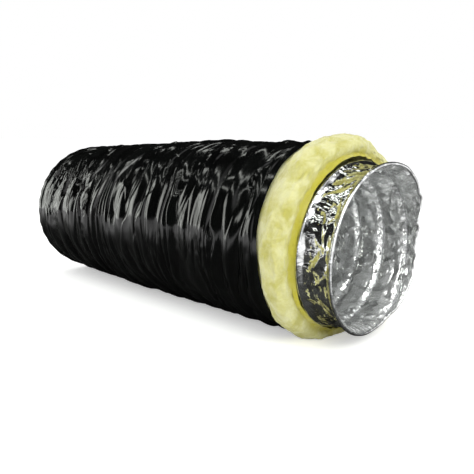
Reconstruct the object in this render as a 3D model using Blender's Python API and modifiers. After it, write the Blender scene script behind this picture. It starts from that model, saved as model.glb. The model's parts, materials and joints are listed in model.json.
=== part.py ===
"""Insulated flexible air duct of 203 mm nominal bore, lying on a floor.

Five layers make the duct, from the inside: the liner, a steel wire helix, the foil ply that is
bonded over the wire, a glass wool blanket, and the jacket, a black film sleeve. At the far end
the jacket is turned in over the blanket. At the near end the blanket stands out of the jacket,
and the core of liner, wire and foil stands out of the blanket.

The duct's axis is parallel to X, with the near end at +X, and +Z is up. The origin is on the
floor, under the middle of the duct. The duct is cut into short sections, so that it can be
stretched and bent where two of them meet. Each section's objects have their origin on the
duct's axis, at the section's far side, and this is where its joint is.
"""

import math

import bmesh
import bpy

# Driving dimensions, in metres.
BORE_RADIUS = 0.1015
PITCH = 0.0369
WIRE_RADIUS = 0.0007
FILM = 0.0006
JACKET_FILM = 0.001
GAP = 0.0003
JACKET_RADIUS_FAR = 0.1155
JACKET_RADIUS_NEAR = 0.1225
JACKET_BULGE = 0.003
AXIS_HEIGHT = 0.1160
END_CORNER = 0.007
COLLAR_LENGTH = 0.035
COLLAR_FLARE = 0.008

# A section holds a third more than one turn of the wire, and the near one holds more still.
SECTIONS = 11
SECTION_TURNS = 4 / 3
NEAR_TURNS = 7 / 3

# Every ring has the same number of sides, so that the gaps between nested rings stay even.
SIDES = 24
CORNER_STEPS = 3
WIRE_END_STEPS = 0.15
FIRST_WIRE_TURN = 5 / 6

SECTION_LENGTH = SECTION_TURNS * PITCH
NEAR_LENGTH = NEAR_TURNS * PITCH
JACKET_LENGTH = SECTIONS * SECTION_LENGTH
FAR_END = -(JACKET_LENGTH + NEAR_LENGTH) / 2

LINER_OUTER = BORE_RADIUS + FILM
WIRE_CENTRE = LINER_OUTER + GAP + WIRE_RADIUS
FOIL_INNER = WIRE_CENTRE + WIRE_RADIUS + GAP
FOIL_OUTER = FOIL_INNER + FILM
BLANKET_INNER = FOIL_OUTER + 2 * GAP
BLANKET_DEPTH = JACKET_FILM + 4 * GAP
DEEPEST_SQUASHED = 0.008

FINISHES = {
    # name: (colour, roughness, metallic)
    "liner_foil": ((0.72, 0.73, 0.75), 0.30, 1.0),
    "spring_steel": ((0.62, 0.62, 0.64), 0.35, 1.0),
    "outer_foil": ((0.80, 0.81, 0.82), 0.22, 1.0),
    "glass_wool": ((0.80, 0.76, 0.36), 0.95, 0.0),
    "black_film": ((0.015, 0.016, 0.018), 0.28, 0.0),
}


def clear_scene():
    for obj in list(bpy.data.objects):
        bpy.data.objects.remove(obj)


def new_collection(name):
    collection = bpy.data.collections.new(name)
    bpy.context.scene.collection.children.link(collection)
    return collection


def new_material(name):
    colour, roughness, metallic = FINISHES[name]
    material = bpy.data.materials.new(name)
    material.use_nodes = True
    shader = material.node_tree.nodes["Principled BSDF"]
    shader.inputs["Base Color"].default_value = (*colour, 1.0)
    shader.inputs["Roughness"].default_value = roughness
    shader.inputs["Metallic"].default_value = metallic
    material.diffuse_color = (*colour, 1.0)
    return material


def jacket_radius(along):
    """The jacket's outer radius, at a distance from the far end: a slight taper and a slight bulge."""
    share = min(along / JACKET_LENGTH, 1.0)
    taper = (JACKET_RADIUS_NEAR - JACKET_RADIUS_FAR) * share
    return JACKET_RADIUS_FAR + taper + JACKET_BULGE * 4 * share * (1 - share)


def rounded_corner(radius, corner, inset=0.0):
    """The far end's rounded corner as (x, radius) points, from the end face round to the side."""
    points = []
    for step in range(CORNER_STEPS + 1):
        turn = math.pi / 2 * step / CORNER_STEPS
        x = inset + corner * (1 - math.sin(turn))
        points.append((x, radius - corner * (1 - math.cos(turn))))
    return points[::-1]


def turned_mesh(name, outline):
    """The closed surface made by turning a closed outline of (x, radius) points about the X axis."""
    count = len(outline)
    profile = bpy.data.meshes.new(name + "_profile")
    points = [(x, 0, -radius) for x, radius in outline]
    profile.from_pydata(points, [(i, (i + 1) % count) for i in range(count)], [])
    guide = bpy.data.objects.new(name + "_profile", profile)
    guides.objects.link(guide)
    screw = guide.modifiers.new("turn", "SCREW")
    screw.axis = "X"
    screw.steps = SIDES
    screw.render_steps = SIDES
    screw.use_merge_vertices = True
    screw.merge_threshold = 1e-5
    bpy.context.view_layer.update()
    graph = bpy.context.evaluated_depsgraph_get()
    mesh = bpy.data.meshes.new_from_object(guide.evaluated_get(graph))
    bpy.data.objects.remove(guide)
    return mesh


def squash_on_floor(mesh, start):
    """Flattens a ring's underside where it would be under the floor. start is its place on the duct.

    A point inside the jacket keeps its depth below the jacket's outer face, as nested layers do.
    """
    for vertex in mesh.vertices:
        radius = math.hypot(vertex.co.y, vertex.co.z)
        depth = jacket_radius(start + vertex.co.x) - radius
        depth = min(max(depth, 0.0), DEEPEST_SQUASHED)
        vertex.co.z = max(vertex.co.z, depth - AXIS_HEIGHT)


def add_ring(name, outline, start, finish, squashed=False):
    mesh = turned_mesh(name, outline)
    if squashed:
        squash_on_floor(mesh, start)
    surface = bmesh.new()
    surface.from_mesh(mesh)
    bmesh.ops.recalc_face_normals(surface, faces=surface.faces)
    surface.to_mesh(mesh)
    surface.free()
    mesh.name = name
    mesh.materials.append(materials[finish])
    mesh.shade_smooth()
    mesh.set_sharp_from_angle(angle=math.radians(40))
    place(bpy.data.objects.new(name, mesh), start)


def place(obj, start):
    """Puts an object in the duct with its origin on the axis, at a distance from the far end."""
    duct.objects.link(obj)
    obj.location = (FAR_END + start, 0, AXIS_HEIGHT)


def add_tube(name, inner, outer, length, start, finish):
    outline = [(0, inner), (0, outer), (length, outer), (length, inner)]
    add_ring(name, outline, start, finish)


def side_share(mark):
    """A ring's radius where it has turned by a number of sides, as a share of that at its corners."""
    half_side = math.pi / SIDES
    return math.cos(half_side) / math.cos(2 * half_side * (mark % 1) - half_side)


def add_wire(name, turns, start):
    """A stretch of the helix, which stops just short of the wires before and after it."""
    curve = bpy.data.curves.new(name, "CURVE")
    curve.dimensions = "3D"
    curve.bevel_depth = WIRE_RADIUS
    curve.bevel_resolution = 0
    curve.use_fill_caps = True
    steps = round(turns * SIDES)
    marks = [WIRE_END_STEPS, *range(1, steps), steps - WIRE_END_STEPS]
    spline = curve.splines.new("POLY")
    spline.points.add(len(marks) - 1)
    first_turn = FIRST_WIRE_TURN + start / PITCH
    for point, mark in zip(spline.points, marks):
        angle = 2 * math.pi * (first_turn + mark / SIDES)
        radius = WIRE_CENTRE * side_share(mark)
        point.co = (PITCH * mark / SIDES, -radius * math.sin(angle), -radius * math.cos(angle), 1.0)
    curve.materials.append(materials["spring_steel"])
    place(bpy.data.objects.new(name, curve), start)


def add_core(label, turns, start):
    """The liner, the wire and the foil ply of one section."""
    length = turns * PITCH - GAP
    add_tube("liner_" + label, BORE_RADIUS, LINER_OUTER, length, start, "liner_foil")
    add_wire("wire_" + label, turns, start)
    add_tube("foil_" + label, FOIL_INNER, FOIL_OUTER, length, start, "outer_foil")


def add_blanket(label, start):
    """Glass wool between the core and the jacket. At the far end it fills the jacket's corner."""
    length = SECTION_LENGTH - GAP
    near_outer = jacket_radius(start + length) - BLANKET_DEPTH
    far_outer = jacket_radius(start) - BLANKET_DEPTH
    far_side = [(0, far_outer)]
    far_x = 0
    if start == 0:
        far_x = BLANKET_DEPTH
        far_side = rounded_corner(far_outer, END_CORNER - BLANKET_DEPTH, BLANKET_DEPTH)
    outline = [(far_x, BLANKET_INNER), *far_side, (length, near_outer), (length, BLANKET_INNER)]
    add_ring("blanket_" + label, outline, start, "glass_wool", squashed=True)


def add_jacket(label, start):
    """A sleeve of the film. The far one also covers the end of the blanket, down to the core."""
    length = SECTION_LENGTH - GAP
    far_outer = jacket_radius(start)
    near_outer = jacket_radius(start + length)
    far_inner = far_outer - JACKET_FILM
    near_side = [(length, near_outer), (length, near_outer - JACKET_FILM)]
    if start == 0:
        outside = rounded_corner(far_outer, END_CORNER)
        inside = rounded_corner(far_inner, END_CORNER - JACKET_FILM, JACKET_FILM)
        far_edge = [(JACKET_FILM, BLANKET_INNER), (0, BLANKET_INNER)]
        outline = [*outside, *near_side, *inside[::-1], *far_edge]
    else:
        outline = [(0, far_outer), *near_side, (0, far_inner)]
    add_ring("jacket_" + label, outline, start, "black_film", squashed=True)


def add_collar():
    """The bare end of the blanket, which springs out beyond the edge of the jacket."""
    edge = JACKET_RADIUS_NEAR - BLANKET_DEPTH
    crown = JACKET_RADIUS_NEAR + COLLAR_FLARE
    outline = [
        (0, BLANKET_INNER),
        (0, edge),
        (0.25 * COLLAR_LENGTH, crown - 0.001),
        (0.65 * COLLAR_LENGTH, crown),
        (0.90 * COLLAR_LENGTH, crown - 0.003),
        (COLLAR_LENGTH, crown - 0.010),
        (COLLAR_LENGTH, BLANKET_INNER),
    ]
    add_ring("blanket_near", outline, JACKET_LENGTH, "glass_wool", squashed=True)


clear_scene()
duct = new_collection("flexible_air_duct")
guides = new_collection("guides")
materials = {name: new_material(name) for name in FINISHES}

for section in range(SECTIONS):
    section_label = f"{section + 1:02d}"
    section_start = section * SECTION_LENGTH
    add_core(section_label, SECTION_TURNS, section_start)
    add_blanket(section_label, section_start)
    add_jacket(section_label, section_start)

add_core("near", NEAR_TURNS, JACKET_LENGTH)
add_collar()
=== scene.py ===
"""The looks of an insulated flexible air duct that lies on a pale floor.

Each layer of the duct is one long sheet, worked out on a grid of stations along the duct and steps
round it. The sheet is then cut at the middle of each body, so that each piece lies between two bodies.
Angles go round from the top of the duct to its +Y side. Lengths are in metres.
"""

import json
import math

import bpy
import numpy as np
from mathutils import Matrix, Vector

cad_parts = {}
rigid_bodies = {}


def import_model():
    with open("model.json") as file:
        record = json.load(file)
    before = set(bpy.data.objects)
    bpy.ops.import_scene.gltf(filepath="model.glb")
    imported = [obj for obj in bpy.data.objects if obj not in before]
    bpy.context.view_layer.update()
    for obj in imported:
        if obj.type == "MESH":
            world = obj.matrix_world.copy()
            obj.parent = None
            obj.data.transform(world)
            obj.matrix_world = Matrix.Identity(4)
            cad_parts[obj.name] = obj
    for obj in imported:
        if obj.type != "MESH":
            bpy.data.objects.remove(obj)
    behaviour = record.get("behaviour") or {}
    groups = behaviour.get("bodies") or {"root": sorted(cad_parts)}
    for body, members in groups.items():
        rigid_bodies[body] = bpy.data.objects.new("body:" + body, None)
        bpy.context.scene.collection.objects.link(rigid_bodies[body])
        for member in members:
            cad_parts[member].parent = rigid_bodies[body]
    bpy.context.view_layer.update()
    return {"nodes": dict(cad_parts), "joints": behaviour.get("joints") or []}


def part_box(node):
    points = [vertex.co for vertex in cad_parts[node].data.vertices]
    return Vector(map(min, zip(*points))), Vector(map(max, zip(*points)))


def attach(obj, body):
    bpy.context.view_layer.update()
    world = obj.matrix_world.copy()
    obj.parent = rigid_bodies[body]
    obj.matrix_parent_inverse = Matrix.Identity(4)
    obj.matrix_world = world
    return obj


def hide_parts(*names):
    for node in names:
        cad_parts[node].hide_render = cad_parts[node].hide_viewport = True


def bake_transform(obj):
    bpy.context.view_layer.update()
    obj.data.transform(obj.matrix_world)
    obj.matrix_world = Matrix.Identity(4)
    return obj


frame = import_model()

MM = 0.001
FULL_TURN = 2 * math.pi

# Places and sizes, from the frame.
BODIES = [frame["joints"][0]["parent"]] + [joint["child"] for joint in frame["joints"]]
LABELS = [f"{number + 1:02d}" for number in range(len(BODIES) - 1)] + ["near"]
STARTS = [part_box("liner_" + label)[0].x for label in LABELS]
SECTION = STARTS[1] - STARTS[0]
FAR_X = STARTS[0]
JACKET_END = STARTS[-1]
NEAR_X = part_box("liner_near")[1].x
MIDDLES = [start + SECTION / 2 for start in STARTS]
AXIS_Z = (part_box("liner_01")[0].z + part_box("liner_01")[1].z) / 2
BORE_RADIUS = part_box("liner_01")[1].y
FOIL_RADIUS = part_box("foil_01")[1].y
WIRE_RADIUS = 0.7 * MM
WIRE_CENTRE = (BORE_RADIUS + FOIL_RADIUS) / 2
COLLAR_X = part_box("blanket_near")[1].x
COLLAR_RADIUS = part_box("blanket_near")[1].y
JACKET_RADII = [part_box("jacket_" + label)[1].y for label in LABELS[:-1]]
JACKET_CENTRES = MIDDLES[:-1]
TURNS_PER_SECTION = 4 / 3
PITCH = SECTION / TURNS_PER_SECTION

# The wire's free end is at the near end, a little way down from the top. Below it the core's edge is
# loose as far as the next turn of the wire, and it curls between two of these angles.
WIRE_END = math.radians(20)
EDGE_RETURN = math.radians(185)
CURL_START = math.radians(58)
CURL_END = math.radians(140)
CURL_DEPTH = 16 * MM

# How far the core's film sinks between two turns of the wire and stands up over the wire, and the share
# by which the bare core is lower than it is wide.
SAG = 3.6 * MM
RIDGE = 1.0 * MM
OVAL = 0.027

# How far the top of the far end comes down, the share by which its lower sides spread, and the length
# over which both fade out.
SLUMP = 9 * MM
SPREAD = 0.035
SLUMP_LENGTH = 0.36

# How far each piece reaches under the one before, and the share of its radius by which it is set under.
TUCK = 6 * MM
TUCK_UNDER = 0.007

# The jacket's middle line lies inside the CAD's outer face, and turns a corner at the far end.
JACKET_INSET = 1.5 * MM
END_CORNER = 9 * MM

# How finely the sheets are made: stations along the duct, and steps round it.
JACKET_SPACING = 0.9 * MM
CORE_SPACING = 1.1 * MM
JACKET_STEPS = 272
CORE_STEPS = 264
COLLAR_STEPS = 320
BLANKET_STEPS = 72
BEAD_STEPS = 6
WIRE_STEPS_PER_TURN = 96
FIBRES = 5200
STRAND_POINTS = 5

# A middling radius, for the map's distance round the duct.
MAP_RADIUS = 0.11


def smooth(low, high, value):
    share = np.clip((value - low) / (high - low), 0, 1)
    return share * share * (3 - 2 * share)


def noise(along, turn, cells, seed, crisp=False):
    """Noise from -1 to 1, with creases between its cells where it is crisp. along is in cells, and turn
    goes from 0 to 1 round the duct."""
    rows = 512
    table = np.random.default_rng(seed).uniform(-1, 1, (rows, cells))
    row = np.floor(along).astype(int)
    column = np.floor(turn * cells).astype(int)
    a = along - row
    b = turn * cells - column
    if not crisp:
        a = a * a * (3 - 2 * a)
        b = b * b * (3 - 2 * b)
    corner = [table[(row + i) % rows, (column + j) % cells] for i in (0, 1) for j in (0, 1)]
    low = corner[0] * (1 - b) + corner[1] * b
    high = corner[2] * (1 - b) + corner[3] * b
    return low * (1 - a) + high * a


def creases(phase, turn, cells, seed, sharpness):
    """Sharp valleys where phase is a whole number. Each fades in and out on its way round."""
    number = np.round(phase)
    strength = noise(number * 1.0, turn, cells, seed) * 0.5 + 0.5
    offset = np.abs(phase - number) * 2
    return -smooth(0.15, 0.75, strength) * (1 - offset) ** sharpness


def leans(phase, turn, cells, seed):
    """Each panel between two creases leans its own way, from -0.5 to 0.5 over its width."""
    number = np.floor(phase)
    share = phase - number
    lean = noise(number * 1.0, turn, cells, seed)
    return lean * (share - 0.5) * smooth(0, 0.16, share) * smooth(1, 0.84, share)


def on_grid(stations, steps):
    """Grids of the stations' places and of the share of a turn, which starts at the underside."""
    turn = (np.arange(steps) / steps + 0.5) % 1.0
    return np.meshgrid(stations, turn, indexing="ij")


def points_at(x, turn, radius):
    angle = turn * FULL_TURN
    return np.stack([x, radius * np.sin(angle), AXIS_Z + radius * np.cos(angle)], axis=-1)


def directions(line):
    """The line's direction at each of its points."""
    along = np.gradient(line, axis=0)
    return along / np.linalg.norm(along, axis=1, keepdims=True)


def walked(line):
    """How far along the line each of its points is."""
    return np.concatenate([[0], np.cumsum(np.linalg.norm(np.diff(line, axis=0), axis=1))])


def grid_normals(points, inwards=False):
    """Normals of a sheet that is closed round the duct."""
    along = np.gradient(points, axis=0)
    around = np.roll(points, -1, axis=1) - np.roll(points, 1, axis=1)
    normals = np.cross(around, along)
    normals /= np.maximum(np.linalg.norm(normals, axis=-1, keepdims=True), 1e-12)
    return -normals if inwards else normals


def slump(points):
    """The far end sags to an oval: its top comes down and its lower sides spread."""
    far = smooth(FAR_X + SLUMP_LENGTH, FAR_X + 20 * MM, points[..., 0])
    height = np.clip(points[..., 2] / (2 * AXIS_Z), 0, 1)
    points[..., 2] -= SLUMP * far * height ** 1.5
    points[..., 1] *= 1 + SPREAD * far * (1 - height) * smooth(0, 0.3, height)
    return points


def store(mesh, name, kind, key, values):
    """Keeps a value for each point of a mesh."""
    made = mesh.attributes.new(name, kind, "POINT")
    made.data.foreach_set(key, values.astype(np.float32).ravel())


def add_piece(name, mesh, material):
    mesh.materials.append(material)
    piece = bpy.data.objects.new(name, mesh)
    bpy.context.scene.collection.objects.link(piece)
    return piece


def map_in_metres(points, quads):
    """Each quad corner's distance along the sheet and round it."""
    steps = points.shape[1]
    distance = np.linalg.norm(np.diff(points, axis=0), axis=-1).mean(axis=1)
    along = np.concatenate([[0], np.cumsum(distance)]) + points[0, :, 0].mean()
    column = quads % steps
    wrapped = (column == 0) & (column.max(axis=1, keepdims=True) == steps - 1)
    around = (column + wrapped * steps) / steps * FULL_TURN * MAP_RADIUS
    return np.stack([along[quads // steps], around], axis=-1)


def add_mesh(name, points, material, inwards=False, normals=None, groove_shade=None):
    """A mesh from a grid of points that is closed round the duct."""
    count, steps = points.shape[:2]
    index = np.arange(count * steps).reshape(count, steps)
    right = np.roll(index, -1, axis=1)
    quads = np.stack([index[:-1], right[:-1], right[1:], index[1:]], axis=-1).reshape(-1, 4)
    if inwards:
        quads = quads[:, ::-1]
    mesh = bpy.data.meshes.new(name)
    mesh.from_pydata(points.reshape(-1, 3).tolist(), [], quads.tolist())
    mesh.shade_smooth()
    uv = map_in_metres(points, quads)
    mesh.uv_layers.new(name="metres").data.foreach_set("uv", uv.astype(np.float32).ravel())
    store(mesh, "rest_place", "FLOAT_VECTOR", "vector", points)
    if groove_shade is not None:
        store(mesh, "groove_shade", "FLOAT", "value", groove_shade)
    if normals is not None:
        mesh.normals_split_custom_set_from_vertices(normals.reshape(-1, 3).tolist())
    return add_piece(name, mesh, material)


def bend_piece(piece):
    """Bakes the piece's place into its mesh. Nothing here makes it bend between a body and the next one."""
    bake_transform(piece)


def tucked(points, rows, inwards):
    """Sets the first rows a little under the piece before, so that no gap opens as the duct bends."""
    axis = np.array([0, AXIS_Z])
    share = 1 + TUCK_UNDER * (1 if inwards else -1)
    moved = points.copy()
    moved[:rows, :, 1:] = axis + (points[:rows, :, 1:] - axis) * share
    return moved


def add_layer(layer, stations, points, material, inwards=False):
    """Cuts a full-length sheet at the middle of each body. Each piece starts under the one before."""
    points = slump(points)
    normals = grid_normals(points, inwards)
    cuts = [int(np.argmin(np.abs(stations - middle))) for middle in MIDDLES]
    edges = [0] + [cut for cut in cuts if 0 < cut < len(stations) - 1] + [len(stations) - 1]
    for number, (first, last) in enumerate(zip(edges[:-1], edges[1:])):
        begin = int(np.searchsorted(stations, stations[first] - TUCK))
        part = slice(begin, last + 1)
        sheet = tucked(points[part], first - begin, inwards)
        piece = add_mesh(f"{layer}_skin_{number:02d}", sheet, material, inwards, normals[part])
        if number == 0:
            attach(piece, BODIES[0])
        elif number < len(BODIES):
            bend_piece(piece)
        else:
            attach(piece, BODIES[-1])
        names = [f"{layer}_{label}" for label in LABELS[number:number + 1]]
        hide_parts(*[name for name in names if name in frame["nodes"]])


# ---------------------------------------------------------------- materials


class Shader:
    """A material with a Principled BSDF, and short ways to add nodes to it."""

    def __init__(self, name, colour, roughness, metallic=0.0):
        self.material = bpy.data.materials.new(name)
        self.material.use_nodes = True
        self.tree = self.material.node_tree
        self.bsdf = self.tree.nodes["Principled BSDF"]
        self.bsdf.inputs["Base Color"].default_value = (*colour, 1)
        self.bsdf.inputs["Roughness"].default_value = roughness
        self.bsdf.inputs["Metallic"].default_value = metallic

    def node(self, kind, **settings):
        made = self.tree.nodes.new("ShaderNode" + kind)
        for key, value in settings.items():
            setattr(made, key, value)
        return made

    def link(self, source, target):
        self.tree.links.new(source, target)

    def places(self, scale):
        """The layer's rest places, scaled along X, Y and Z."""
        place = self.node("Attribute", attribute_name="rest_place")
        mapping = self.node("Mapping")
        mapping.inputs["Scale"].default_value = scale
        self.link(place.outputs["Vector"], mapping.inputs["Vector"])
        return mapping.outputs["Vector"]

    def metres(self, scale):
        """The map along and round the duct, scaled."""
        place = self.node("UVMap", uv_map="metres")
        mapping = self.node("Mapping")
        mapping.inputs["Scale"].default_value = scale
        self.link(place.outputs["UV"], mapping.inputs["Vector"])
        return mapping.outputs["Vector"]

    def noise(self, vector, scale, detail=4.0, roughness=0.55, distortion=0.0):
        made = self.node("TexNoise")
        made.inputs["Scale"].default_value = scale
        made.inputs["Detail"].default_value = detail
        made.inputs["Roughness"].default_value = roughness
        made.inputs["Distortion"].default_value = distortion
        self.link(vector, made.inputs["Vector"])
        return made.outputs["Fac"]

    def ramp(self, value, first, last):
        """A colour between two stops, each a position and a colour."""
        made = self.node("ValToRGB")
        for element, (position, colour) in zip(made.color_ramp.elements, (first, last)):
            element.position = position
            element.color = (*colour, 1)
        self.link(value, made.inputs["Fac"])
        return made.outputs["Color"]

    def spread(self, value, low, high):
        """value from 0 to 1 spread to a range."""
        made = self.node("MapRange")
        made.inputs["To Min"].default_value = low
        made.inputs["To Max"].default_value = high
        self.link(value, made.inputs["Value"])
        return made.outputs["Result"]

    def fade(self, value, start, end):
        """0 at start to 1 at end, with soft ends."""
        made = self.node("MapRange", interpolation_type="SMOOTHSTEP")
        made.inputs["From Min"].default_value = start
        made.inputs["From Max"].default_value = end
        self.link(value, made.inputs["Value"])
        return made.outputs["Result"]

    def combine(self, operation, first, second):
        made = self.node("Math", operation=operation)
        self.link(first, made.inputs[0])
        self.link(second, made.inputs[1])
        return made.outputs[0]

    def times(self, first, second):
        return self.combine("MULTIPLY", first, second)

    def plus(self, first, second):
        return self.combine("ADD", first, second)

    def bump(self, height, distance, strength, base=None):
        made = self.node("Bump")
        made.inputs["Distance"].default_value = distance
        made.inputs["Strength"].default_value = strength
        self.link(height, made.inputs["Height"])
        if base is not None:
            self.link(base, made.inputs["Normal"])
        return made.outputs["Normal"]

    def set(self, socket, source):
        self.link(source, self.bsdf.inputs[socket])


def black_film():
    """Glossy polyethylene film with fine crossways crinkles and a slight bloom."""
    made = Shader("black_film", (0.010, 0.011, 0.012), 0.2)
    made.bsdf.inputs["IOR"].default_value = 1.52
    long_grain = made.noise(made.metres((330, 28, 1)), 1.0, 3.0, 0.6, 0.6)
    small_grain = made.noise(made.metres((700, 260, 1)), 1.0, 2.0, 0.5, 0.4)
    rough = made.noise(made.places((30, 30, 30)), 1.0, 3.0)
    made.set("Roughness", made.spread(rough, 0.07, 0.18))
    tone = made.noise(made.places((18, 18, 18)), 1.0, 4.0)
    deep = (0.0005, 0.0005, 0.0005)
    bloom = (0.0022, 0.0026, 0.0024)
    made.set("Base Color", made.ramp(tone, (0.3, deep), (0.7, bloom)))
    normal = made.bump(long_grain, 0.6 * MM, 0.14)
    made.set("Normal", made.bump(small_grain, 0.25 * MM, 0.22, normal))
    return made.material


def foil(name, colour, roughness, metallic, facet, crumple):
    """Metallised film, crumpled into facets of a given size in metres and pressed flat again, with a
    painted reflection in each facet.
    """
    made = Shader(name, colour, roughness, metallic)
    place = made.places((1, 1, 1))
    warp = made.noise(place, 90, 3.0)
    shift = made.node("VectorMath", operation="MULTIPLY_ADD")
    made.link(warp, shift.inputs[0])
    shift.inputs[1].default_value = (0.006, 0.006, 0.006)
    made.link(place, shift.inputs[2])
    edges = made.node("TexVoronoi", feature="DISTANCE_TO_EDGE")
    facets = made.node("TexVoronoi")
    for cells in (edges, facets):
        cells.inputs["Scale"].default_value = 1 / facet
        made.link(shift.outputs["Vector"], cells.inputs["Vector"])
    broad = made.noise(made.metres((42, 95, 1)), 1.0, 2.0, 0.45, 0.6)
    fine = made.noise(made.metres((150, 260, 1)), 1.0, 2.0, 0.5, 0.8)
    normal = made.bump(edges.outputs["Distance"], 0.42 * facet, crumple)
    normal = made.bump(broad, 5.0 * MM, crumple, normal)
    made.set("Normal", made.bump(fine, 0.5 * MM, 0.25, normal))
    wear = made.noise(place, 35, 4.0)
    made.set("Roughness", made.spread(wear, roughness * 0.6, roughness * 1.5))
    # Painted reflection: each facet gets its own grey, as if it caught more or less light, and the wear
    # noise varies it too.
    tone = made.plus(made.spread(facets.outputs["Color"], 0.0, 0.6), made.spread(wear, 0.0, 0.4))
    low = tuple(channel * 0.55 for channel in colour)
    made.set("Base Color", made.ramp(tone, (0.28, low), (0.56, colour)))
    return made.material


def spring_steel():
    made = Shader("spring_steel", (0.72, 0.72, 0.74), 0.28, 1.0)
    drawn = made.noise(made.places((300, 300, 300)), 1.0, 2.0)
    made.set("Roughness", made.spread(drawn, 0.18, 0.36))
    return made.material


# The wool's colours. The last is painted shade: a deeper, darker yellow for the wool in the groove by the
# core.
WOOL_PALE = (0.62, 0.60, 0.31)
WOOL_MID = (0.46, 0.43, 0.11)
WOOL_SHADED = (0.45, 0.40, 0.03)


def glass_wool(name, groove_shaded):
    """Soft yellow glass wool: clouds of colour, a fibrous nap, light that comes through it, and painted
    shade by the core.
    """
    made = Shader(name, WOOL_MID, 0.95)
    made.bsdf.inputs["Subsurface Weight"].default_value = 0.25
    made.bsdf.inputs["Subsurface Radius"].default_value = (0.9, 0.8, 0.3)
    made.bsdf.inputs["Subsurface Scale"].default_value = 4 * MM
    made.bsdf.inputs["Specular IOR Level"].default_value = 0.15
    made.bsdf.inputs["Sheen Weight"].default_value = 0.25
    made.bsdf.inputs["Sheen Roughness"].default_value = 0.6
    place = made.places((1, 1, 1))
    clouds = made.noise(place, 45, 4.0, 0.6, 0.4)
    colour = made.ramp(clouds, (0.36, WOOL_MID), (0.60, WOOL_PALE))
    if groove_shaded:
        # Painted shade: towards a deeper, darker yellow where the wool lies deep in the groove by the core.
        groove_shade = made.node("Attribute", attribute_name="groove_shade")
        mix = made.node("Mix", data_type="RGBA")
        made.link(groove_shade.outputs["Fac"], mix.inputs["Factor"])
        made.link(colour, mix.inputs["A"])
        mix.inputs["B"].default_value = (*WOOL_SHADED, 1)
        colour = mix.outputs["Result"]
    made.set("Base Color", colour)
    nap = made.noise(place, 700, 4.0, 0.7, 1.2)
    tufts = made.noise(place, 160, 4.0, 0.6, 0.8)
    normal = made.bump(tufts, 3.0 * MM, 0.6)
    made.set("Normal", made.bump(nap, 0.8 * MM, 0.7, normal))
    return made.material


def floor_finish():
    """White to the camera. In reflections it is painted dark, but glows far to the duct's left and past its
    mouth as painted light.
    """
    made = Shader("floor_white", (0.92, 0.92, 0.92), 0.7)
    path = made.node("LightPath")
    place = made.node("SeparateXYZ")
    made.link(made.node("NewGeometry").outputs["Position"], place.inputs[0])
    # Painted light: the floor glows only in reflections, in patches to the duct's left and past its mouth,
    # and is dark elsewhere in them.
    beside = made.fade(place.outputs["Y"], -0.20, -0.55)
    behind = made.fade(place.outputs["X"], -0.02, -0.32)
    before = made.fade(place.outputs["X"], 0.30, 0.60)
    sheets = made.plus(made.times(beside, behind), before)
    reflected_glow = made.times(path.outputs["Is Glossy Ray"], sheets)
    made.set("Base Color", made.spread(path.outputs["Is Glossy Ray"], 0.92, 0.02))
    made.bsdf.inputs["Emission Color"].default_value = (1, 1, 1, 1)
    total = made.node("Math", operation="MULTIPLY_ADD")
    made.link(reflected_glow, total.inputs[0])
    total.inputs[1].default_value = 1.05
    made.link(made.spread(path.outputs["Is Camera Ray"], 0, 0.42), total.inputs[2])
    made.set("Emission Strength", total.outputs[0])
    return made.material


# ---------------------------------------------------------------- the jacket


def jacket_profile():
    """The jacket's line from inside the far end's rim, round its corner and along to the near edge."""
    end_x = FAR_X + 1.0 * MM
    radius = JACKET_RADII[0] - JACKET_INSET
    inner = FOIL_RADIUS + 1.0 * MM
    face = [(end_x, r) for r in np.linspace(inner, radius - END_CORNER, 8)]
    bend = []
    for turn in np.linspace(0, math.pi / 2, 14)[1:-1]:
        x = end_x + END_CORNER * (1 - math.cos(turn))
        bend.append((x, radius - END_CORNER * (1 - math.sin(turn))))
    side_x = np.arange(end_x + END_CORNER, JACKET_END, JACKET_SPACING)
    side_r = np.interp(side_x, JACKET_CENTRES, JACKET_RADII) - JACKET_INSET
    return np.array(face + bend + list(zip(side_x, side_r)))


def pleats(x, turn):
    """Height of the jacket's film in metres. Long sharp creases part it into smooth full panels."""
    wander = noise(x / 0.055, turn, 5, 11) + 0.5 * noise(x / 0.02, turn, 12, 12)
    drift = noise(x / 0.04, turn, 7, 13) + 0.3 * noise(x / 0.012, turn, 20, 14)
    main_phase = x / 0.0265 + turn + 0.8 * wander
    cross_phase = x / 0.033 - 2 * turn + 1.1 * drift
    fine_phase = x / 0.0105 - turn + wander
    main = creases(main_phase, turn, 7, 21, 3.2)
    cross = creases(cross_phase, turn, 8, 22, 4.0)
    fine = creases(fine_phase, turn, 10, 23, 1.6)
    panels = 4.0 * main + 3.0 * cross
    panels = panels + 4.4 * leans(main_phase, turn, 9, 25) + 3.6 * leans(cross_phase, turn, 11, 26)
    gathered = smooth(-0.1, 0.5, noise(x / 0.03, turn, 9, 33))
    panels = panels + fine * (0.15 + 0.9 * gathered)
    full = 1.5 * noise(x / 0.034, turn, 18, 34) + 0.5 * noise(x / 0.017, turn, 34, 35)
    crumple = -0.9 * np.abs(noise(x / 0.008, turn, 60, 31))
    crumple = crumple - 0.5 * np.abs(noise(x / 0.0035, turn, 120, 32))
    near = smooth(JACKET_END - 0.20, JACKET_END - 0.02, x)
    crumpled = smooth(0.1, 0.6, noise(x / 0.05, turn, 12, 36) + 0.35 * near)
    hoops = 1.1 * np.cos(FULL_TURN * ((x - NEAR_X) / PITCH + turn))
    height = panels + full + crumple * (0.05 + 1.2 * crumpled) + hoops
    return np.maximum(height, -5.5 - 0.2 * height ** 2 / 10) * MM


def floor_line(x, turn):
    """How far above the floor the film lies where it rests on it."""
    return (0.5 + 0.5 * noise(x / 0.012, turn, 40, 41) ** 2) * MM


def rest_on_floor(points, x, turn):
    points[..., 2] = np.maximum(points[..., 2], floor_line(x, turn))
    return points


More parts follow.
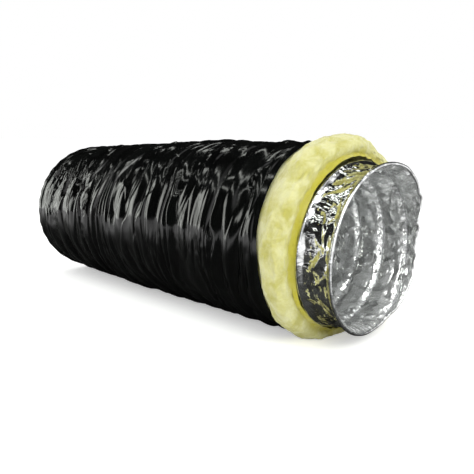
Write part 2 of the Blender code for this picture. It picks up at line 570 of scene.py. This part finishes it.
def near_looseness(x):
    """1 at the jacket's near edge, fading to 0 where the film is held."""
    return smooth(30 * MM, 0, JACKET_END - x)


def jacket_height(x, walk, turn):
    """The film's height off its line: gathered on the end face, pleated, and loose at the near edge."""
    pleated = 0.12 + 0.88 * smooth(14 * MM, 36 * MM, walk - FAR_X)
    gathers = np.sin(turn * FULL_TURN * 34 + 3 * noise(walk / 0.03, turn, 12, 51))
    on_face = 1 - smooth(9 * MM, 22 * MM, walk - FAR_X)
    height = pleats(walk, turn) * pleated + 0.45 * MM * gathers * on_face
    height = height + near_looseness(x) * (1.5 * noise(x / 0.03, turn, 14, 52) - 0.3) * MM
    over_wool = -1.5 - 6 * smooth(20 * MM, 44 * MM, JACKET_END - x)
    return np.maximum(height, over_wool * MM)


def make_jacket(material):
    profile = jacket_profile()
    stations = profile[:, 0]
    x, turn = on_grid(stations, JACKET_STEPS)
    along = directions(profile)
    walk = FAR_X + walked(profile)[:, None] + x * 0
    height = jacket_height(x, walk, turn)
    ragged = 3.6 * noise(x * 0, turn, 11, 53) + 1.6 * noise(x * 0, turn, 37, 54) - 7.0
    place_x = x - along[:, 1:] * height + near_looseness(x) * ragged * MM
    place_r = profile[:, 1:] + along[:, :1] * height
    points = rest_on_floor(points_at(place_x, turn, place_r), walk, turn)
    add_layer("jacket", stations, points, material)


# ---------------------------------------------------------------- the core


def wire_phase(x, turn):
    """A whole number where the wire runs. The wire's free end is at the near end."""
    return (NEAR_X - x) / PITCH - (WIRE_END / FULL_TURN - turn)


def near_edge(turn):
    """Where the core is cut off: along the wire, and across to the next turn below its free end."""
    angle = turn * FULL_TURN
    start = WIRE_END
    behind = np.where(angle <= start, start - angle, start - angle + FULL_TURN)
    on_wire = NEAR_X - PITCH * behind / FULL_TURN
    share = smooth(start, EDGE_RETURN, angle)
    low = NEAR_X - PITCH * (1 - (EDGE_RETURN - start) / FULL_TURN)
    across = NEAR_X + (low - NEAR_X) * share
    ragged = 1.5 * MM * noise(angle * 0, turn, 60, 61) * np.sin(np.pi * np.clip(share, 0, 1))
    inside = (angle > start) & (angle < EDGE_RETURN)
    return np.where(inside, across + ragged, on_wire)


def film_height(x, turn, seed):
    """The core's film: it sinks between two turns of the wire and is crumpled all over."""
    across = noise(x / 0.02, turn, 30, seed + 4)
    phase = wire_phase(x, turn)
    off = np.abs(phase - np.round(phase)) * 2
    sink = -SAG * np.sin(off * np.pi / 2) ** 0.75 * (0.85 + 0.35 * noise(x / 0.03, turn, 9, seed))
    sink = sink + RIDGE * smooth(0.08, 0.0, off)
    free = smooth(0.08, 0.28, off)
    skew = turn + 0.012 * noise(x / 0.02, turn, 26, seed + 5)
    folds = -np.abs(noise(x / 0.016 + 0.8 * across, skew, 36, seed + 1, crisp=True)) * 3.2
    folds = folds - np.abs(noise(x / 0.011 + 2 * across, skew, 66, seed + 2, crisp=True)) * 1.9
    folds = folds - np.abs(noise(x / 0.005, skew, 130, seed + 3, crisp=True)) * 0.6
    return sink + folds * free * MM


def curl(x, turn, edge):
    """The film's loose edge below the wire's free end: turned in above, and out below."""
    angle = turn * FULL_TURN
    near = np.clip(1 - (edge - x) / CURL_DEPTH, 0, 1)
    middle = (CURL_START + CURL_END) / 2
    turned_in = smooth(CURL_START, CURL_START + 0.25, angle) * smooth(middle + 0.3, middle - 0.1, angle)
    turned_out = smooth(middle + 0.1, middle + 0.4, angle) * smooth(CURL_END + 0.35, CURL_END, angle)
    loose = smooth(0, 0.5, turned_in + turned_out)
    rumpled = 7 * noise(x / 0.008, turn, 60, 71) * near * (1.15 - near) * loose
    return (near ** 1.4 * (-13 * turned_in + 5 * turned_out) + rumpled) * MM


def settle_near_end(points):
    """The bare core droops into a slight oval, and its mouth reaches out and turns aside a little."""
    bare = smooth(JACKET_END, NEAR_X - 25 * MM, points[..., 0])
    mouth = smooth(JACKET_END + 25 * MM, NEAR_X, points[..., 0])
    underside = AXIS_Z - FOIL_RADIUS
    moved = points.copy()
    moved[..., 2] = underside + (points[..., 2] - underside) * (1 - OVAL * bare)
    moved[..., 0] += (2 * bare + 3 * mouth) * MM
    moved[..., 0] -= points[..., 1] * (0.02 * bare + 0.045 * mouth)
    return moved


def core_stations(spacing, coarse):
    """Stations of the core's films, closer together where they are seen."""
    hidden = np.arange(FAR_X, JACKET_END, coarse)
    seen = np.arange(JACKET_END, NEAR_X + spacing / 2, spacing)
    return np.concatenate([hidden, seen])


def fit_to_edge(stations, turn):
    """Draws the last stations in to the cut edge."""
    start = NEAR_X - 48 * MM
    edge = near_edge(turn)
    x = stations[:, None] + turn * 0
    share = np.clip((x - start) / (NEAR_X - start), 0, 1)
    return np.where(x > start, start + share * (edge - start), x), edge


def make_liner(material):
    """The inner ply, seen from inside the bore."""
    stations = core_stations(CORE_SPACING, 2.4 * MM)
    _, turn = on_grid(stations, CORE_STEPS)
    x, edge = fit_to_edge(stations, turn)
    radius = BORE_RADIUS + 0.4 * MM + film_height(x, turn, 70) + curl(x, turn, edge)
    points = settle_near_end(points_at(x, turn, radius))
    add_layer("liner", stations, points, material, inwards=True)


def make_foil(material):
    """The outer ply. Its near edge is rolled in round a bead."""
    stations = core_stations(CORE_SPACING, 6 * MM)
    _, turn = on_grid(stations, CORE_STEPS)
    x, edge = fit_to_edge(stations, turn)
    radius = WIRE_CENTRE + WIRE_RADIUS + 0.5 * MM + film_height(x, turn, 70) + curl(x, turn, edge)
    points = points_at(x, turn, radius)
    rolled = []
    bead = 2.2 * MM
    for angle in np.linspace(0, math.pi, BEAD_STEPS + 1)[1:]:
        ring_x = edge[-1] + bead * math.sin(angle)
        ring_r = radius[-1] - bead * (1 - math.cos(angle))
        rolled.append(points_at(ring_x, turn[-1], ring_r))
    points = settle_near_end(np.concatenate([points, np.array(rolled)]))
    beyond = bead * np.arange(1, BEAD_STEPS + 1) / BEAD_STEPS
    stations = np.concatenate([stations, stations[-1] + beyond])
    add_layer("foil", stations, points, material)


def make_wire(material):
    """The helix as a thin tube, which goes round with the foil's ridges."""
    turns = (NEAR_X - FAR_X) / PITCH
    count = int(turns * WIRE_STEPS_PER_TURN)
    back = np.arange(count, -1, -1) / WIRE_STEPS_PER_TURN
    x = NEAR_X - PITCH * back
    angle = WIRE_END - FULL_TURN * back
    line = np.stack([x, WIRE_CENTRE * np.sin(angle), AXIS_Z + WIRE_CENTRE * np.cos(angle)], axis=-1)
    out = np.stack([angle * 0, np.sin(angle), np.cos(angle)], axis=-1)
    side = np.cross(directions(line), out)
    round_it = np.arange(8) / 8 * FULL_TURN
    offset = out[:, None] * np.cos(round_it)[:, None] + side[:, None] * np.sin(round_it)[:, None]
    points = settle_near_end(line[:, None] + offset * WIRE_RADIUS)
    add_layer("wire", x, points, material)


# ---------------------------------------------------------------- the blanket


def blanket_ring(low, high):
    """A closed ring of the blanket, a little inside the jacket and outside the core."""
    xs = np.linspace(low, high, 10)
    outer = np.interp(xs, JACKET_CENTRES, JACKET_RADII) - 8.5 * MM
    inner = xs * 0 + FOIL_RADIUS + 1.5 * MM
    path = np.stack([np.concatenate([xs, xs[::-1]]), np.concatenate([outer, inner])], axis=-1)
    path = np.concatenate([path, path[:1]])
    x, turn = on_grid(path[:, 0], BLANKET_STEPS)
    points = slump(points_at(x, turn, path[:, 1:] + x * 0))
    points[..., 2] = np.maximum(points[..., 2], 4 * MM)
    return points


def make_blanket(material):
    """The blanket under the jacket, in pieces cut at the middle of each body."""
    edges = [STARTS[0] + 3 * MM] + MIDDLES[:-1] + [JACKET_END]
    for number, (low, high) in enumerate(zip(edges[:-1], edges[1:])):
        name = "blanket_body_" + LABELS[number]
        piece = add_mesh(name, blanket_ring(low, high), material)
        if number == 0:
            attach(piece, BODIES[0])
        else:
            bend_piece(piece)
        if number < len(LABELS) - 1:
            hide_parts("blanket_" + LABELS[number])


def collar_profile():
    """The bare blanket's line: out from under the jacket, over its crown, and in to the core."""
    edge = JACKET_RADII[-1] - 4 * MM
    crown = COLLAR_RADIUS - 2.0 * MM
    front = COLLAR_X
    knots = [
        (JACKET_END - 19 * MM, edge - 2 * MM),
        (JACKET_END - 9 * MM, edge - 1.5 * MM),
        (JACKET_END - 2 * MM, edge - 1 * MM),
        (JACKET_END + 5 * MM, crown - 2 * MM),
        (JACKET_END + 10 * MM, crown),
        (JACKET_END + 20 * MM, crown - 0.5 * MM),
        (front - 7 * MM, crown - 4 * MM),
        (front - 2 * MM, crown - 10 * MM),
        (front - 2 * MM, crown - 16 * MM),
        (front - 6 * MM, FOIL_RADIUS + 4 * MM),
        (front - 4 * MM, FOIL_RADIUS + 1.2 * MM),
        (front, FOIL_RADIUS + 0.9 * MM),
        (front + 1 * MM, FOIL_RADIUS - 1 * MM),
    ]
    knots = np.array(knots)
    walk = walked(knots)
    even = np.linspace(0, walk[-1], 72)
    line = np.stack([np.interp(even, walk, knots[:, axis]) for axis in (0, 1)], axis=-1)
    for _ in range(10):
        line[1:-1] = (line[:-2] + 2 * line[1:-1] + line[2:]) / 4
    return line, even


def collar_points():
    """The collar's points, and how deep each lies in the groove by the core, from 0 to 1, for painted
    shade.
    """
    line, walk = collar_profile()
    x, turn = on_grid(line[:, 0], COLLAR_STEPS)
    radius = line[:, 1:] + x * 0
    walk = walk[:, None] + x * 0
    along = directions(line)
    lumps = 3.6 * noise(walk / 0.03, turn, 12, 81) + 2.2 * noise(walk / 0.012, turn, 36, 82)
    tufts = 1.2 * noise(walk / 0.005, turn, 90, 83) + 0.6 * noise(walk / 0.0025, turn, 160, 84)
    height = (lumps + tufts) * MM * smooth(14 * MM, 30 * MM, walk)
    uneven = 2.5 * noise(walk * 0, turn, 9, 85) + 1.5 * noise(walk * 0, turn, 23, 86)
    leaning = 8.5 * np.cos(turn * FULL_TURN) + 2.5
    reach = (uneven + leaning) * MM * smooth(14 * MM, 40 * MM, walk)
    place_x = x - along[:, 1:] * height + reach
    place_r = np.maximum(radius + along[:, :1] * height, FOIL_RADIUS - 2 * MM)
    points = points_at(place_x, turn, place_r)
    lowest = (0.8 + 0.6 * noise(walk / 0.01, turn, 50, 87)) * MM
    points[..., 2] = np.maximum(points[..., 2], lowest)
    # Painted shade: the deeper in the groove, the darker the wool, varied by noise.
    depth = smooth(FOIL_RADIUS + 13 * MM, FOIL_RADIUS + 1 * MM, radius)
    return points, np.clip(depth * 0.9 + 0.15 * noise(walk / 0.01, turn, 40, 88), 0, 1)


def make_collar(material):
    points, groove_shade = collar_points()
    normals = grid_normals(points)
    piece = add_mesh("blanket_collar", points, material, False, normals, groove_shade)
    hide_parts("blanket_near")
    bend_piece(piece)
    return points, normals, groove_shade


def strands(root, normal, rng):
    """Ribbons of four quads each, which stand off their roots and lean over."""
    count = len(root)
    sideways = rng.normal(size=(count, 3))
    lean = np.cross(normal, sideways)
    lean /= np.linalg.norm(lean, axis=1, keepdims=True)
    length = rng.uniform(1.5, 5.0, count)[:, None] * MM
    width = rng.uniform(0.10, 0.22, count)[:, None] * MM
    across = np.cross(normal, lean)
    made = []
    for share in np.linspace(0, 1, STRAND_POINTS):
        lift = normal * length * (0.75 * share - 0.35 * share * share) - normal * 0.5 * MM
        centre = root + lift + lean * length * share * share * 0.9
        thin = width * (1 - 0.7 * share)
        made.append(np.stack([centre - across * thin, centre + across * thin], axis=1))
    made = np.stack(made, axis=1)
    made[..., 2] = np.maximum(made[..., 2], 0.4 * MM)
    return made.reshape(-1, 3)


def make_fibres(points, normals, groove_shade, material):
    """Loose strands that stand off the collar, as narrow ribbons."""
    rng = np.random.default_rng(5)
    rows, steps = points.shape[:2]
    row = rng.integers(8, rows - 12, FIBRES)
    column = rng.integers(0, steps, FIBRES)
    vertices = strands(points[row, column], normals[row, column], rng)
    each = 2 * STRAND_POINTS
    base = np.arange(FIBRES)[:, None, None] * each + np.arange(STRAND_POINTS - 1)[None, :, None] * 2
    quads = (base + np.array([0, 1, 3, 2])).reshape(-1, 4)
    mesh = bpy.data.meshes.new("blanket_fibres")
    mesh.from_pydata(vertices.tolist(), [], quads.tolist())
    mesh.shade_smooth()
    store(mesh, "rest_place", "FLOAT_VECTOR", "vector", vertices)
    # Painted shade: each strand takes most of its root's shade.
    store(mesh, "groove_shade", "FLOAT", "value", np.repeat(groove_shade[row, column] * 0.8, each))
    piece = add_piece("blanket_fibres", mesh, material)
    bend_piece(piece)


# ---------------------------------------------------------------- the studio


def make_floor():
    bpy.ops.mesh.primitive_plane_add(size=40, location=(0, 0, 0))
    floor = bpy.context.object
    floor.name = "studio_floor"
    floor.data.materials.append(floor_finish())


# The world's strength on matt surfaces, and in reflections from behind and from in front of the duct.
AROUND = 0.80
MIRRORED = (0.01, 1.3)

# Where the camera stands, and the azimuth and elevation that it looks from.
CAMERA_PLACE = (NEAR_X + 0.367, -0.597, AXIS_Z + 0.132)
CAMERA_ANGLE = (45.67, 9.87)
LENS = 45.57


def make_world():
    """White to the camera and soft to matt surfaces. In reflections it is dark behind and pale in front."""
    world = bpy.data.worlds.new("studio")
    bpy.context.scene.world = world
    world.use_nodes = True
    tree = world.node_tree
    made = {kind: tree.nodes.new("ShaderNode" + kind) for kind in ("LightPath", "TexCoord", "SeparateXYZ")}
    ahead = tree.nodes.new("ShaderNodeMapRange")
    for socket, value in zip(("From Min", "From Max", "To Min", "To Max"), (0.15, 0.65, *MIRRORED)):
        ahead.inputs[socket].default_value = value
    mix = tree.nodes.new("ShaderNodeMix")
    mix.inputs["A"].default_value = AROUND
    tree.links.new(made["TexCoord"].outputs["Generated"], made["SeparateXYZ"].inputs[0])
    tree.links.new(made["SeparateXYZ"].outputs["X"], ahead.inputs["Value"])
    tree.links.new(made["LightPath"].outputs["Is Glossy Ray"], mix.inputs["Factor"])
    tree.links.new(ahead.outputs["Result"], mix.inputs["B"])
    camera_mix = tree.nodes.new("ShaderNodeMix")
    camera_mix.inputs["B"].default_value = 1.0
    tree.links.new(made["LightPath"].outputs["Is Camera Ray"], camera_mix.inputs["Factor"])
    tree.links.new(mix.outputs["Result"], camera_mix.inputs["A"])
    tree.links.new(camera_mix.outputs["Result"], tree.nodes["Background"].inputs["Strength"])
    tree.nodes["Background"].inputs["Color"].default_value = (1, 1, 1, 1)


def direction(azimuth, elevation):
    a, e = math.radians(azimuth), math.radians(elevation)
    return np.array([math.sin(a) * math.cos(e), -math.cos(a) * math.cos(e), math.sin(e)])


def place_looking(obj, location, back):
    """Puts an object at a place, with its -Z axis against the direction back and no roll."""
    right = np.cross([0, 0, 1], back)
    right /= np.linalg.norm(right)
    up = np.cross(back, right)
    obj.matrix_world = Matrix([
        (right[0], up[0], back[0], location[0]),
        (right[1], up[1], back[1], location[1]),
        (right[2], up[2], back[2], location[2]),
        (0, 0, 0, 1),
    ])


def add_softbox(name, azimuth, elevation, distance, width, height, power):
    light = bpy.data.lights.new(name, "AREA")
    light.shape = "RECTANGLE"
    light.size = width
    light.size_y = height
    light.energy = power
    light.color = (0.97, 1.0, 0.94)
    obj = bpy.data.objects.new(name, light)
    bpy.context.scene.collection.objects.link(obj)
    back = direction(azimuth, elevation)
    place_looking(obj, back * distance + np.array([0, 0, AXIS_Z]), back)


def make_lights():
    """Each softbox: azimuth, elevation, distance, width, height and power."""
    softboxes = {
        "side_softbox": (-66, 11, 1.9, 1.2, 0.85, 8.5),
        "front_softbox": (70, 30, 2.2, 1.4, 1.4, 28),
        "high_strip": (-20, 50, 1.8, 2.2, 0.08, 2.2),
        "top_strip": (-20, 66, 1.8, 2.2, 0.10, 3.2),
        "back_strip": (180, 72, 1.8, 2.2, 0.12, 3.6),
    }
    for name, settings in softboxes.items():
        add_softbox(name, *settings)


def make_camera():
    """Looks into the near end from its front and a little above, with the duct running away."""
    camera = bpy.data.objects.new("camera", bpy.data.cameras.new("camera"))
    bpy.context.scene.collection.objects.link(camera)
    camera.data.sensor_width = 36
    camera.data.lens = LENS
    camera.data.clip_start = 0.01
    place_looking(camera, CAMERA_PLACE, direction(*CAMERA_ANGLE))
    bpy.context.scene.camera = camera
    bpy.context.scene.view_settings.view_transform = "Standard"


def make_duct():
    foil_out = foil("outer_foil", (0.86, 0.87, 0.87), 0.10, 0.99, 7 * MM, 0.15)
    foil_in = foil("liner_foil", (0.94, 0.95, 0.95), 0.22, 0.84, 10 * MM, 0.45)
    make_jacket(black_film())
    make_liner(foil_in)
    make_foil(foil_out)
    make_wire(spring_steel())
    make_blanket(glass_wool("glass_wool_inside", False))
    wool = glass_wool("glass_wool", True)
    make_fibres(*make_collar(wool), wool)


make_duct()
make_floor()
make_world()
make_lights()
make_camera()
